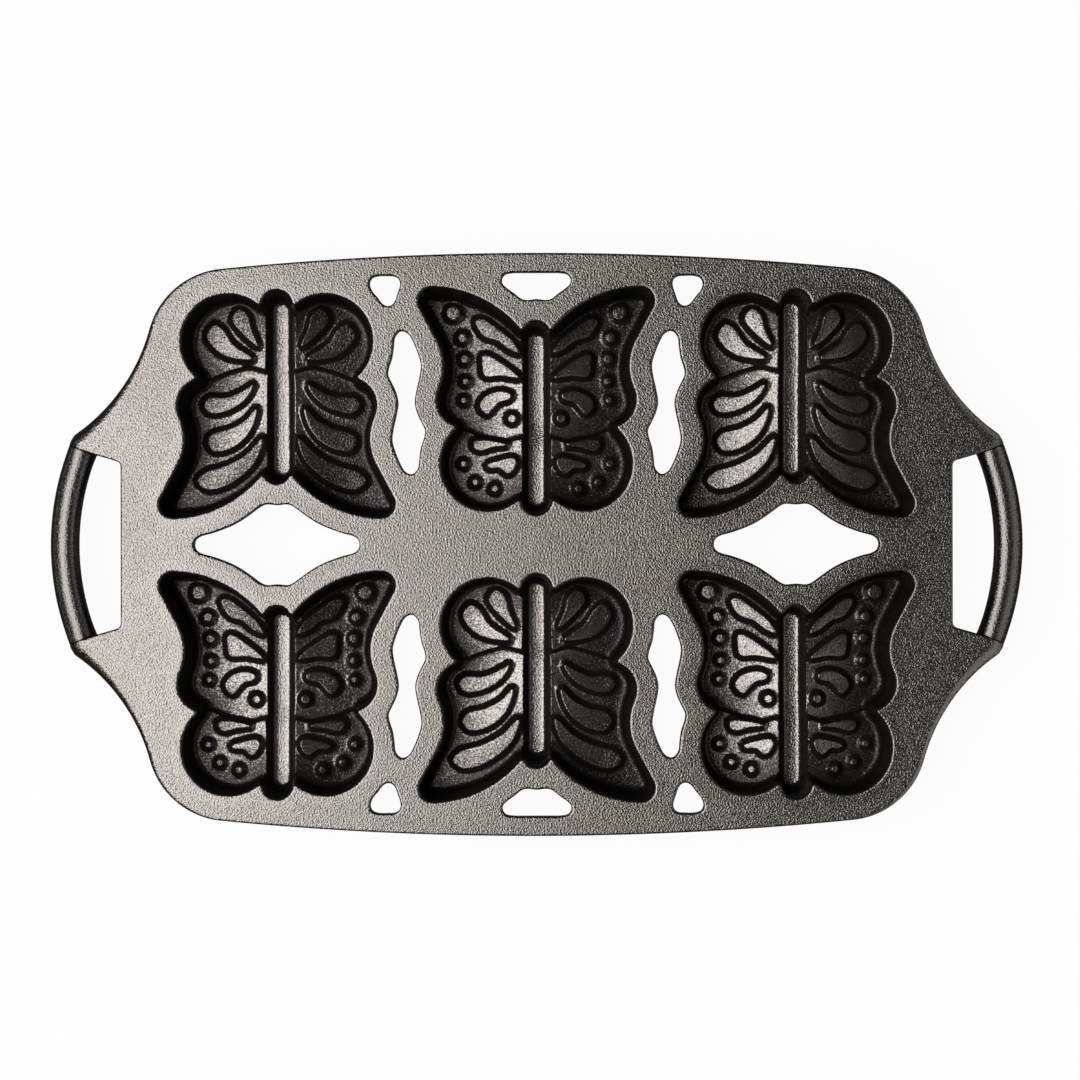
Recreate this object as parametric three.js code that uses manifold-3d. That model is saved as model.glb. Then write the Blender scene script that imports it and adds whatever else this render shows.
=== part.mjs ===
// Six-cup butterfly cakelet pan in cast iron: a flat deck with vents and four ears, six cups that
// hang under it, and a round grip bar between the ears at each end.
// Millimetres, +Z up. The pan stands on its cup bottoms at z = 0, centred on the origin.
import * as THREE from 'three';
import { mergeVertices } from 'three/addons/utils/BufferGeometryUtils.js';
import Module from 'manifold-3d';

const wasm = await Module();
wasm.setup();

// Heights and depths, measured down from the deck's top face
const deckThickness = 4.5;
const troughDepth = 21; // bottom of the body trough
const besideBodyDepth = 14.4; // pointed wing's floor next to the trough
const wingDroop = 0.09; // fall of the wing floors for each millimetre away from the trough
const roundWingStep = 2.8; // round wings lie this much higher than the pointed ones
const cellRise = 1.9; // raised cells and dots above the wing floor
const floorThickness = 4.5; // iron under the trough and under the pointed wings

// Cup wall, from the rim inwards
const lipRun = 0.8;
const lipDrop = 0.8;
const draftRun = 2;
const filletRun = 2.4;
const filletRise = 3.2;
const notchRadius = 1; // rounding of the three inward corners of the rim
const flangeWidth = 4.5; // iron round the rim that belongs to the cup
const wallFootWidth = 1.4; // how far the cup's foot stands outside the rim line
const footBevel = 3.5;

// Rim of a cup: circles on the right half, for a butterfly with its round wings up
const headY = 40.8;
const headFloorRadius = 1.8;
const wingX = 20;
const wingY = 26;
const wingRadius = 19.6;
const shoulderX = 29.6;
const shoulderY = -0.4;
const shoulderRadius = 11.6;
const waistX = 60.9;
const waistY = -14.2;
const tipX = 42.9;
const tipY = -41;
const tipFloorRadius = 1.1;
const lowerEdgeX = 44;
const lowerEdgeY = 2;
const tailY = -27.1;
const tailFloorRadius = 1;

// Body trough and the line where round wings meet pointed wings
const troughHalfWidth = 5.2;
const troughEndInset = 2.2; // from the rim's ends to the trough's ends
const divisionLine = [[5.9, 15.3], [13.1, 17], [20.3, 15.6], [27.6, 13]]; // it ends at the notch

// Iron left between the cups' rims, and between them and the deck's edges
const columnGap = 9.2;
const cornerRowGap = 21.7;
const middleRowGap = 23.8;
const longEdgeWeb = 13.8;
const cornerWeb = 14.4;
const loopWeb = 15.6;

// Deck edge
const edgeCrownRadius = 1320; // the long edges bow out this gently
const flareRadius = 75; // hollow curve from each corner to its ear

// Grips and their loops
const gripRadius = 6;
const gripDrop = 0.8; // the bar's top lies this much under the deck's face
const gripArcRadius = 105.7;
const gripHalfSpan = 39.4;
const earReach = 2; // the bar's line runs on this far into the ear
const fingerRoom = 18.1; // clear width of the loop at its middle
const loopEndSlant = 5.4;
const loopCornerRadius = 2;
const seatGap = 0.3; // clearance between the cast pieces

// Vents: windows in the deck, cut back to leave a rib of iron round every cup
const ventRib = 4.2; // from a cup's seat to a vent
const longVentHalfLength = 29.5;
const longVentHalfWidth = 8.5;
const longVentLean = 2.2;
const diamondHalfLength = 33.7;
const diamondEndRadius = 3.9;
const trapezoidHalfLength = 14.2;
const trapezoidEdgeWeb = 8; // iron left between a vent and the long edge
const trapezoidCornerRadius = 2.5;
const triangleNearX = 2.2; // from the line midway between two columns of cups
const triangleFarX = 15.2;
const triangleDepth = 12.4;
const triangleEdgeWeb = 8.9;
const triangleCornerRadius = 2;

// Raised cells on the right wings, outlines read from the cup's axis. Each is one smooth closed curve.
const plainKind = {
  roundWingCells: [
    [[9.3, 25], [11.9, 31.8], [13.6, 37.7], [16.9, 40.3], [20, 36.4], [15.7, 30.2]],
    [[11.7, 19.7], [20.2, 26], [24.4, 32.2], [27.7, 34], [30.8, 29.7], [28.5, 25.2], [22.7, 21]],
  ],
  pointedWingCells: [
    [[11.7, 8.9], [22.3, 3.9], [30.5, 3.6], [32.5, 0.9], [30.2, -2.3], [24, -1.9], [16.5, 1.8]],
    [[10.2, -1.1], [21.5, -9.4], [29, -11.5], [31.2, -14.6], [28.5, -18.4], [22.3, -17.7], [13.5, -11]],
    [[7.7, -13.6], [23.2, -24.8], [32.3, -27.7], [35.2, -31.1], [31.5, -34.4], [24, -33.2], [12, -25]],
  ],
  roundWingDots: [],
  pointedWingDots: [],
};
// The dotted butterfly, listed with its round wings up as well: its cup is turned over along Y when built.
const dottedKind = {
  roundWingCells: [
    [[26.2, 16.5], [18.2, 16.3], [12.7, 17.8], [18.2, 18.6], [23.6, 20]],
    [[20.7, 26.3], [15.7, 24.4], [9.2, 23.6], [9.8, 28.2], [11.9, 29.8], [15.7, 27.3]],
  ],
  pointedWingCells: [
    [[25.4, -34.3], [22.7, -34.9], [15.7, -30.2], [7.4, -20.8], [16.5, -26], [21.5, -27.7]],
    [[22.7, -19.5], [20.7, -19.8], [14.8, -16.4], [7.7, -10.3], [14.8, -11.2], [21.7, -11.4]],
    [[20.7, 4.7], [23.8, 1.5], [22.3, -1.8], [14, -4.5], [10.8, -3.1], [11.5, -1.4], [15.7, -0.2]],
  ],
  roundWingDots: [[30.6, 25.7], [25.7, 33.3], [17.5, 36.1]],
  pointedWingDots: [[31.1, -27.3], [30.1, -18.3], [29.9, -9.1], [30.5, -1.1], [10.3, 6.8]],
  eyeDots: [[34.9, -37.7]],
};
const dotRadius = 2.5;
const eyeDotRadius = 3.6;
const cellSteps = 12;
const dotSides = 8;

// Worked out from the above
const panHeight = troughDepth + floorThickness;
const wallRun = lipRun / 2 + draftRun + filletRun;
const ventWeb = flangeWidth + seatGap + ventRib;
const upAngle = Math.PI / 2;
const clockwise = -1;
const anticlockwise = 1;

const circle = (x, y, radius) => ({ x, y, radius });
const heading = (from, to) => Math.atan2(to.y - from.y, to.x - from.x);
const spacing = (a, b) => Math.hypot(b.x - a.x, b.y - a.y);
const polar = (hub, radius, angle) =>
  new THREE.Vector2(hub.x + radius * Math.cos(angle), hub.y + radius * Math.sin(angle));

// Where two circles, both grown by the same amount, cross on the left of the way from a to b
function meet(a, b, growth) {
  const span = spacing(a, b);
  const reachA = a.radius + growth;
  const reachB = b.radius + growth;
  const along = (reachA * reachA - reachB * reachB + span * span) / (2 * span);
  const aside = Math.sqrt(reachA * reachA - along * along);
  return polar(a, reachA, heading(a, b) + Math.atan2(aside, along));
}

// Points along an arc, without its last point
function arc(hub, radius, from, to, turn, steps) {
  let sweep = (to - from) * turn;
  while (sweep < 0) sweep += 2 * Math.PI;
  return Array.from({ length: steps }, (_, i) => polar(hub, radius, from + (turn * sweep * i) / steps));
}

const head = circle(0, headY, headFloorRadius + wallRun);
const wing = circle(wingX, wingY, wingRadius);
const shoulder = circle(shoulderX, shoulderY, shoulderRadius);
const waist = circle(waistX, waistY, spacing({ x: waistX, y: waistY }, shoulder) - shoulderRadius);
const tip = circle(tipX, tipY, tipFloorRadius + wallRun);
const lowerEdgeRadius = spacing({ x: lowerEdgeX, y: lowerEdgeY }, tip) + tip.radius;
const lowerEdge = circle(lowerEdgeX, lowerEdgeY, lowerEdgeRadius);
const tail = circle(0, tailY, tailFloorRadius + wallRun);

// Places of the cups, and the edges of the deck that follow from them
const cupHalfLength = tipX + tip.radius;
const cornerCupX = 2 * cupHalfLength + columnGap;
const cornerCupY = tip.radius - tipY + cornerRowGap / 2;
const middleCupY = headY + head.radius + middleRowGap / 2;
const deckHalfWidth = middleCupY + tip.radius - tipY + longEdgeWeb;
const loopInnerX = cornerCupX + cupHalfLength + loopWeb;

// An inward corner of the rim: rounded while the offset leaves room for the rounding, else a sharp corner
function rimCorner(a, b, offset) {
  const rounded = offset < notchRadius;
  const hub = meet(a, b, rounded ? notchRadius : offset);
  const bend = rounded
    ? arc(hub, notchRadius - offset, heading(hub, a), heading(hub, b), anticlockwise, 2)
    : [];
  return { leave: heading(a, hub), enter: heading(b, hub), bend };
}

// The rim moved outwards by an offset, anticlockwise, with the round wings up
function rimOutline(offset) {
  const neck = rimCorner(head, wing, offset);
  const notch = rimCorner(wing, shoulder, offset);
  const rump = rimCorner(lowerEdge, tail, offset);
  const flank = heading(tip, waist) - Math.acos((waist.radius + tip.radius) / spacing(waist, tip));
  const half = [
    ...arc(head, head.radius + offset, upAngle, neck.leave, clockwise, 2),
    ...neck.bend,
    ...arc(wing, wing.radius + offset, neck.enter, notch.leave, clockwise, 7),
    ...notch.bend,
    ...arc(shoulder, shoulder.radius + offset, notch.enter, heading(shoulder, waist), clockwise, 3),
    ...arc(waist, waist.radius - offset, heading(waist, shoulder), flank + Math.PI, anticlockwise, 3),
    polar(waist, waist.radius - offset, flank + Math.PI),
    ...arc(tip, tip.radius + offset, flank, heading(lowerEdge, tip), clockwise, 4),
    ...arc(lowerEdge, lowerEdge.radius + offset, heading(lowerEdge, tip), rump.leave, clockwise, 4),
    ...rump.bend,
    ...arc(tail, tail.radius + offset, rump.enter, -upAngle, clockwise, 2),
    polar(tail, tail.radius + offset, -upAngle),
  ];
  const otherHalf = half.slice(1, -1).map((p) => new THREE.Vector2(-p.x, p.y));
  return [...half.reverse(), ...otherHalf];
}

// A closed body through rings of equal length. Each ring has a flat outline and a way to place its points.
function skin(rings) {
  const count = rings[0].flat.length;
  const positions = rings.flatMap(({ flat, place }) => flat.flatMap((p) => place(p).toArray()));
  const index = [];
  for (let ring = 0; ring + 1 < rings.length; ring += 1) {
    for (let i = 0; i < count; i += 1) {
      const here = ring * count + i;
      const next = ring * count + ((i + 1) % count);
      index.push(here, next, next + count, here, next + count, here + count);
    }
  }
  const last = (rings.length - 1) * count;
  const cap = (flat) => THREE.ShapeUtils.triangulateShape(flat, []);
  for (const [a, b, c] of cap(rings[0].flat)) index.push(a, c, b);
  for (const [a, b, c] of cap(rings[rings.length - 1].flat)) index.push(last + a, last + b, last + c);
  const geometry = new THREE.BufferGeometry();
  geometry.setAttribute('position', new THREE.Float32BufferAttribute(positions, 3));
  geometry.setIndex(index);
  return geometry;
}

const level = (flat, z) => ({ flat, place: (p) => new THREE.Vector3(p.x, p.y, z) });

function toSolid(geometry) {
  const bare = geometry.clone();
  bare.deleteAttribute('normal');
  bare.deleteAttribute('uv');
  const merged = mergeVertices(bare);
  return new wasm.Manifold(
    new wasm.Mesh({
      numProp: 3,
      vertProperties: new Float32Array(merged.attributes.position.array),
      triVerts: new Uint32Array(merged.index.array),
    }),
  );
}

function toGeometry(solid) {
  const mesh = solid.getMesh();
  const geometry = new THREE.BufferGeometry();
  geometry.setAttribute('position', new THREE.Float32BufferAttribute(mesh.vertProperties, 3));
  geometry.setIndex(Array.from(mesh.triVerts));
  geometry.computeVertexNormals();
  return geometry;
}

const prism = (flat, low, high) => toSolid(skin([level(flat, low), level(flat, high)]));
const mirrorX = (flat) => flat.map((p) => new THREE.Vector2(-p.x, p.y)).reverse();
const mirrorY = (flat) => flat.map((p) => new THREE.Vector2(p.x, -p.y)).reverse();
const shift = (flat, x, y) => flat.map((p) => new THREE.Vector2(p.x + x, p.y + y));
const inOrder = (flat) => (THREE.ShapeUtils.isClockWise(flat) ? flat.slice().reverse() : flat);

function smoothLoop(points, steps) {
  const curve = new THREE.CatmullRomCurve3(points.map(([x, y]) => new THREE.Vector3(x, y, 0)), true);
  return inOrder(curve.getPoints(steps).slice(0, steps).map((p) => new THREE.Vector2(p.x, p.y)));
}

function ring(x, y, radius, sides) {
  return arc({ x, y }, radius, 0, 2 * Math.PI - 1e-9, anticlockwise, sides);
}

// Everything under the wing floors: a ridge along the body that falls away to both sides
function underWings(rise) {
  const reach = cupHalfLength + flangeWidth;
  const ridge = panHeight - besideBodyDepth + rise;
  const edge = ridge - wingDroop * (reach - troughHalfWidth);
  const base = -panHeight;
  const profile = new THREE.Shape([
    new THREE.Vector2(-reach, base),
    new THREE.Vector2(reach, base),
    new THREE.Vector2(reach, edge),
    new THREE.Vector2(troughHalfWidth, ridge),
    new THREE.Vector2(-troughHalfWidth, ridge),
    new THREE.Vector2(-reach, edge),
  ]);
  const length = 2 * (headY + head.radius + flangeWidth);
  const body = new THREE.ExtrudeGeometry(profile, { depth: length, bevelEnabled: false });
  body.rotateX(upAngle);
  body.translate(0, length / 2, 0);
  return toSolid(body);
}

// The hollows under the wings that keep the iron even, on both sides of the keel under the trough
function undersideHollows() {
  const keelHalfWidth = troughHalfWidth + floorThickness;
  const reach = headY + head.radius + flangeWidth;
  const keel = [
    new THREE.Vector2(-keelHalfWidth, -reach),
    new THREE.Vector2(keelHalfWidth, -reach),
    new THREE.Vector2(keelHalfWidth, reach),
    new THREE.Vector2(-keelHalfWidth, reach),
  ];
  return underWings(-floorThickness).subtract(prism(keel, -2 * panHeight, panHeight));
}

// The half of the plan that the round wings cover, bounded by the line to the notch on each side
function roundWingPlan() {
  const notch = meet(wing, shoulder, 0);
  const marks = divisionLine.map(([x, y]) => new THREE.Vector2(x, y));
  const line = new THREE.SplineCurve([...marks, notch]).getPoints(8);
  const beyond = notch.x + flangeWidth + wingRadius;
  const above = headY + head.radius + flangeWidth;
  const right = [...line, new THREE.Vector2(beyond, notch.y), new THREE.Vector2(beyond, above)];
  return inOrder([...mirrorX(right), ...right]);
}

// The groove of the body: a round-bottomed slot with round ends
function bodyTrough() {
  const headEnd = headY + head.radius - troughEndInset - troughHalfWidth;
  const tailEnd = tailY - tail.radius + troughEndInset + troughHalfWidth;
  const axisZ = panHeight - troughDepth + troughHalfWidth;
  const bottom = new THREE.CapsuleGeometry(troughHalfWidth, headEnd - tailEnd, 3, 12);
  bottom.translate(0, (headEnd + tailEnd) / 2, axisZ);
  const slot = [
    ...arc({ x: 0, y: headEnd }, troughHalfWidth, 0, Math.PI, anticlockwise, 6),
    new THREE.Vector2(-troughHalfWidth, headEnd),
    ...arc({ x: 0, y: tailEnd }, troughHalfWidth, Math.PI, 2 * Math.PI, anticlockwise, 6),
    new THREE.Vector2(troughHalfWidth, tailEnd),
  ];
  return toSolid(bottom).add(prism(slot, axisZ, panHeight - besideBodyDepth + roundWingStep + cellRise));
}

function raisedForms(cells, dots, eyes, rise) {
  const outlines = [
    ...cells.map((points) => smoothLoop(points, cellSteps)),
    ...dots.map(([x, y]) => ring(x, y, dotRadius, dotSides)),
    ...eyes.map(([x, y]) => ring(x, y, eyeDotRadius, dotSides)),
  ];
  const limit = underWings(rise);
  return outlines
    .flatMap((outline) => [outline, mirrorX(outline)])
    .map((outline) => prism(outline, 0, panHeight).intersect(limit));
}

// One cup with its round wings up, on its own axis
function cupSolid(kind) {
  const lipEdge = lipRun / 2;
  const footZ = panHeight - deckThickness;
  const outside = toSolid(
    skin([
      level(rimOutline(wallFootWidth), 0),
      level(rimOutline(wallFootWidth + footBevel / 4), footBevel),
      level(rimOutline(flangeWidth), footZ),
      level(rimOutline(flangeWidth), panHeight),
    ]),
  );
  const above = 1;
  const hollow = toSolid(
    skin([
      level(rimOutline(-wallRun), floorThickness),
      level(rimOutline(filletRun - wallRun), floorThickness + filletRise),
      level(rimOutline(-lipEdge), panHeight - lipDrop),
      level(rimOutline(lipEdge), panHeight),
      level(rimOutline(lipEdge), panHeight + above),
    ]),
  );
  const roundWings = prism(roundWingPlan(), 0, panHeight).intersect(underWings(roundWingStep));
  const eyes = kind.eyeDots ?? [];
  const forms = [
    ...raisedForms(kind.roundWingCells, kind.roundWingDots, [], roundWingStep + cellRise),
    ...raisedForms(kind.pointedWingCells, kind.pointedWingDots, eyes, cellRise),
  ];
  const floor = forms.reduce((sum, form) => sum.add(form), underWings(0).add(roundWings));
  return outside.subtract(hollow.subtract(floor).add(bodyTrough())).subtract(undersideHollows());
}

// Turns a solid over along Y by mirroring, keeping its faces pointing out
function flipAlongY(geometry) {
  const flipped = geometry.clone();
  flipped.scale(1, -1, 1);
  const index = flipped.index.array;
  const turned = [];
  for (let i = 0; i < index.length; i += 3) turned.push(index[i], index[i + 2], index[i + 1]);
  flipped.setIndex(turned);
  return flipped;
}

// The grip's line: an arc about a point on the X axis
const gripHalfAngle = Math.asin(gripHalfSpan / gripArcRadius);
const gripHub = { x: loopInnerX + fingerRoom + gripRadius - gripArcRadius, y: 0 };
const earAngle = gripHalfAngle + earReach / gripArcRadius;
const earTip = polar(gripHub, gripArcRadius, earAngle);

// Corner and flare of the deck's edge, touching each other and the ear's round end
const crownHub = { x: 0, y: deckHalfWidth - edgeCrownRadius };
const cornerX = cornerCupX + wingX;
const cornerRadius = wingRadius + cornerWeb;
const cornerDrop = Math.sqrt((edgeCrownRadius - cornerRadius) ** 2 - cornerX ** 2);
const corner = circle(cornerX, crownHub.y + cornerDrop, cornerRadius);
const flareHub = meet(corner, circle(earTip.x, earTip.y, gripRadius), flareRadius);
const flareStart = heading(flareHub, corner);
const flareEnd = heading(flareHub, earTip);

// The bead on an ear's edge: as thick as the deck at the corner, as thick as the grip at the ear's end
const beadSteps = 6;
const beadLine = Array.from({ length: beadSteps + 1 }, (_, i) => {
  const share = i / beadSteps;
  const radius = THREE.MathUtils.lerp(deckThickness / 2, gripRadius, share * share);
  const sweep = THREE.MathUtils.euclideanModulo(flareEnd - flareStart, 2 * Math.PI);
  return { radius, place: polar(flareHub, flareRadius + radius, flareStart + sweep * share) };
});
const rootPlace = polar(gripHub, gripArcRadius, gripHalfAngle);
const rootInner = polar(gripHub, gripArcRadius - gripRadius, gripHalfAngle);

// A round bar through points in plan, with its top a given drop under the deck's face
const barSides = 12;
function roundBar(stations, drop, firstAlong, lastAlong) {
  const section = ring(0, 0, 1, barSides);
  return skin(
    stations.map(({ radius, place }, i) => {
      const before = stations[Math.max(i - 1, 0)].place;
      const after = stations[Math.min(i + 1, stations.length - 1)].place;
      const ends = { 0: firstAlong, [stations.length - 1]: lastAlong };
      const along = ends[i] ?? after.clone().sub(before).normalize();
      const side = new THREE.Vector2(along.y, -along.x);
      const z = panHeight - drop - radius;
      return {
        flat: section,
        place: (p) => {
          const flat = place.clone().addScaledVector(side, -p.x * radius);
          return new THREE.Vector3(flat.x, flat.y, z + p.y * radius);
        },
      };
    }),
  );
}

const alongArc = (angle) => new THREE.Vector2(-Math.sin(angle), Math.cos(angle));

function earBead() {
  const stations = [...beadLine, { radius: gripRadius, place: rootPlace }];
  const first = beadLine[1].place.clone().sub(beadLine[0].place).normalize();
  return roundBar(stations, 0, first, alongArc(gripHalfAngle).negate());
}

// A quarter of the deck's outline, from the middle of the long edge to the loop's inner edge
function deckQuarter() {
  const crownEnd = heading(crownHub, corner);
  const loopHalfWidth = gripHalfSpan - loopEndSlant;
  const loopCorner = new THREE.Vector2(loopInnerX, loopHalfWidth);
  const towardRoot = rootInner.clone().sub(loopCorner).normalize();
  return [
    ...arc(crownHub, edgeCrownRadius, upAngle, crownEnd, clockwise, 4),
    ...arc(corner, cornerRadius, crownEnd, flareStart + Math.PI, clockwise, 6),
    ...beadLine.map(({ place }) => place),
    rootPlace,
    rootInner,
    loopCorner.clone().addScaledVector(towardRoot, loopCornerRadius),
    new THREE.Vector2(loopInnerX, loopHalfWidth - loopCornerRadius),
  ];
}

function roundedBox(lowX, lowY, highX, highY, radius) {
  const corners = [
    [highX - radius, highY - radius, 0],
    [lowX + radius, highY - radius, 1],
    [lowX + radius, lowY + radius, 2],
    [highX - radius, lowY + radius, 3],
  ];
  return corners.flatMap(([x, y, turn]) => [
    ...arc({ x, y }, radius, turn * upAngle, (turn + 1) * upAngle, anticlockwise, 3),
    polar({ x, y }, radius, (turn + 1) * upAngle),
  ]);
}

function ventWindows() {
  const middle = cornerCupX / 2;
  const longVentY = (cornerCupY + middleCupY) / 2;
  const triangleOuterY = deckHalfWidth - triangleEdgeWeb;
  const longVent = smoothLoop(
    [
      [middle - longVentLean, longVentY - longVentHalfLength],
      [middle + longVentHalfWidth, longVentY - longVentHalfLength / 2],
      [middle + longVentHalfWidth, longVentY + longVentHalfLength / 2],
      [middle + longVentLean, longVentY + longVentHalfLength],
      [middle - longVentHalfWidth, longVentY + longVentHalfLength / 2],
      [middle - longVentHalfWidth, longVentY - longVentHalfLength / 2],
    ],
    24,
  );
  const triangle = roundedBox(
    middle + triangleNearX,
    triangleOuterY - triangleDepth,
    middle + triangleFarX,
    triangleOuterY,
    triangleCornerRadius,
  );
  const trapezoid = roundedBox(
    -trapezoidHalfLength,
    middleCupY - tailY,
    trapezoidHalfLength,
    deckHalfWidth - trapezoidEdgeWeb,
    trapezoidCornerRadius,
  );
  const diamondEnds = roundedBox(
    cornerCupX - diamondHalfLength,
    -diamondEndRadius,
    cornerCupX + diamondHalfLength,
    diamondEndRadius,
    diamondEndRadius - seatGap,
  );
  const diamondReach = diamondHalfLength - diamondEndRadius;
  const diamondWaist = roundedBox(
    cornerCupX - diamondReach,
    -cornerCupY - tailY,
    cornerCupX + diamondReach,
    cornerCupY + tailY,
    diamondEndRadius,
  );
  const corners = [longVent, triangle].flatMap((flat) => [flat, mirrorX(flat)]);
  return [
    ...corners.flatMap((flat) => [flat, mirrorY(flat)]),
    trapezoid,
    mirrorY(trapezoid),
    ...[diamondEnds, diamondWaist].flatMap((flat) => [flat, mirrorX(flat)]),
  ];
}

// The cups in their places. Round wings point up on the plain butterflies and down on the dotted ones.
const cups = [
  { name: 'cup_upper_left', x: -cornerCupX, y: cornerCupY, dotted: false },
  { name: 'cup_upper_middle', x: 0, y: middleCupY, dotted: true },
  { name: 'cup_upper_right', x: cornerCupX, y: cornerCupY, dotted: false },
  { name: 'cup_lower_left', x: -cornerCupX, y: -cornerCupY, dotted: true },
  { name: 'cup_lower_middle', x: 0, y: -middleCupY, dotted: false },
  { name: 'cup_lower_right', x: cornerCupX, y: -cornerCupY, dotted: true },
];

function deckSolid() {
  const low = panHeight - deckThickness;
  const beyond = 1;
  const quarter = deckQuarter();
  const right = [...quarter, ...mirrorY(quarter)];
  const outline = inOrder([...right.slice(1), ...mirrorX(right).slice(1)]);
  const plate = prism(outline, low, panHeight);
  const bead = earBead();
  const beads = [
    [1, 1],
    [-1, 1],
    [1, -1],
    [-1, -1],
  ].map(([x, y]) => {
    const copy = bead.clone();
    copy.scale(x, y, 1);
    if (x * y < 0) copy.setIndex(Array.from(copy.index.array).reverse());
    return toSolid(copy);
  });
  const placed = (offset) =>
    cups.map(({ x, y, dotted }) => {
      const outline = rimOutline(offset);
      return prism(shift(dotted ? mirrorY(outline) : outline, x, y), low - beyond, panHeight + beyond);
    });
  const collars = placed(ventWeb).reduce((sum, collar) => sum.add(collar));
  const windows = ventWindows()
    .map((flat) => prism(flat, low - beyond, panHeight + beyond))
    .reduce((sum, window) => sum.add(window))
    .subtract(collars);
  const holes = placed(flangeWidth + seatGap);
  const whole = beads.reduce((sum, each) => sum.add(each), plate);
  return holes.reduce((sum, hole) => sum.subtract(hole), whole.subtract(windows));
}

function gripBar() {
  const reach = gripHalfAngle - seatGap / gripArcRadius;
  const steps = 12;
  const stations = Array.from({ length: steps + 1 }, (_, i) => ({
    radius: gripRadius,
    place: polar(gripHub, gripArcRadius, reach * ((2 * i) / steps - 1)),
  }));
  return roundBar(stations, gripDrop, alongArc(-reach), alongArc(reach));
}

// Seasoned iron: the deck's face takes the light, the cups and grips look darker
const seasonedIron = (color, roughness) =>
  new THREE.MeshStandardMaterial({ color, roughness, metalness: 0.9 });

const pan = new THREE.Group();

function addPiece(name, geometry, material) {
  const mesh = new THREE.Mesh(geometry, material);
  mesh.name = name;
  pan.add(mesh);
  return mesh;
}

addPiece('deck_plate', toGeometry(deckSolid()), seasonedIron(0x5a5754, 0.5));

const plainCup = toGeometry(cupSolid(plainKind));
const dottedCup = flipAlongY(toGeometry(cupSolid(dottedKind)));
for (const { name, x, y, dotted } of cups) {
  const geometry = (dotted ? dottedCup : plainCup).clone();
  addPiece(name, geometry, seasonedIron(0x3a3836, 0.45)).position.set(x, y, 0);
}

const bar = gripBar();
addPiece('grip_right', bar, seasonedIron(0x4a4845, 0.45));
addPiece('grip_left', bar.clone(), seasonedIron(0x4a4845, 0.45)).rotation.z = Math.PI;

export default pan;
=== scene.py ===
# A cast iron cakelet pan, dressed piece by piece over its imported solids. Sizes are in millimetres
# and turn to metres where a mesh is made. The deck comes first, then its cups and its grips.
import math

import bmesh
import bpy
import numpy as np
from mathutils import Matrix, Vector
from mathutils.geometry import delaunay_2d_cdt


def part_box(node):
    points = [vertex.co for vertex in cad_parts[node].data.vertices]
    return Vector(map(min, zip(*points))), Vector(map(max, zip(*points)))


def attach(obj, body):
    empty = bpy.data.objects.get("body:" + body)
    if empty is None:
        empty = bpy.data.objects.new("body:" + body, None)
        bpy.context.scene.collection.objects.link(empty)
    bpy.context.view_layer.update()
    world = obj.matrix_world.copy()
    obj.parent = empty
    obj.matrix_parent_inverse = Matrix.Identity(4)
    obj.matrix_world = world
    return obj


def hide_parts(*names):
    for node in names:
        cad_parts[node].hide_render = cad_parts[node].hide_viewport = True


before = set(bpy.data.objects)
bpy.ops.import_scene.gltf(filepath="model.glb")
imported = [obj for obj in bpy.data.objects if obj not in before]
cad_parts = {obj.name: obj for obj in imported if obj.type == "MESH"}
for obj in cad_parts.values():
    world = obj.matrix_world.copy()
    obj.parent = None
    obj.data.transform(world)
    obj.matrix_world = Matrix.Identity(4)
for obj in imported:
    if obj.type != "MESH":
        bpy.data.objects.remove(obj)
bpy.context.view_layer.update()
MM = 0.001


# Seasoned cast iron. The pan is poured in green sand and baked with oil, so a hard brown-black film
# lies over a pebbled skin: a satin metal sheen broken up by the grains of the mould, with faint rusty
# patches. Against the light its edges go dark, because the film swallows what grazes it.
def linear(colour):
    """An sRGB hex colour as linear RGBA."""
    parts = [int(colour[i : i + 2], 16) / 255 for i in (1, 3, 5)]
    return [c / 12.92 if c <= 0.04045 else ((c + 0.055) / 1.055) ** 2.4 for c in parts] + [1.0]


def add_node(tree, kind, settings=None, **inputs):
    """Adds a node. Inputs are named with _ for spaces and take a value or another node's output."""
    node = tree.nodes.new(kind)
    for name, value in (settings or {}).items():
        setattr(node, name, value)
    for name, value in inputs.items():
        key = int(name[1:]) if name[1:].isdigit() else name.replace("_", " ")
        if isinstance(value, bpy.types.NodeSocket):
            tree.links.new(value, node.inputs[key])
        else:
            node.inputs[key].default_value = value
    return node


SAND_GRAIN = 0.75  # pebbles left by the moulding sand, a little coarser than real so that they show
FINE_GRAIN = 0.4  # the grit between them, as fine as the render can show
GRIT_SHARE = 0.25  # how high the grit stands against the pebbles
SKIN_RANGE = (0.4, 0.85)  # lows and highs of the skin that both make
SPECKLE = 0.28  # how much single grains differ in tone
SHEEN_RANGE = (0.3, 0.7)  # from the lows of the pebbles to their tops
SHEEN_SPREAD = 0.05  # the tops are this much rougher than the middle, and the lows smoother
RUST_PATCH = 45.0  # clouds of browner film
RUST_RANGE = (0.5, 0.72)  # where in a cloud the rust begins and where it is full
PAINTED_SHADE_COLOUR = "#322F2D"  # painted shade: a dark film painted on walls, steep sides, corners and undersides, where shade falls
SHADE_GAIN = 1.7  # where the painted shade is whole it covers even the highest grains
SHADE_SOFTNESS = 0.9  # how gently thinner painted shade ends on them
EDGE_TINT = "#2A2826"  # how dark the film turns what grazes it


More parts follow.
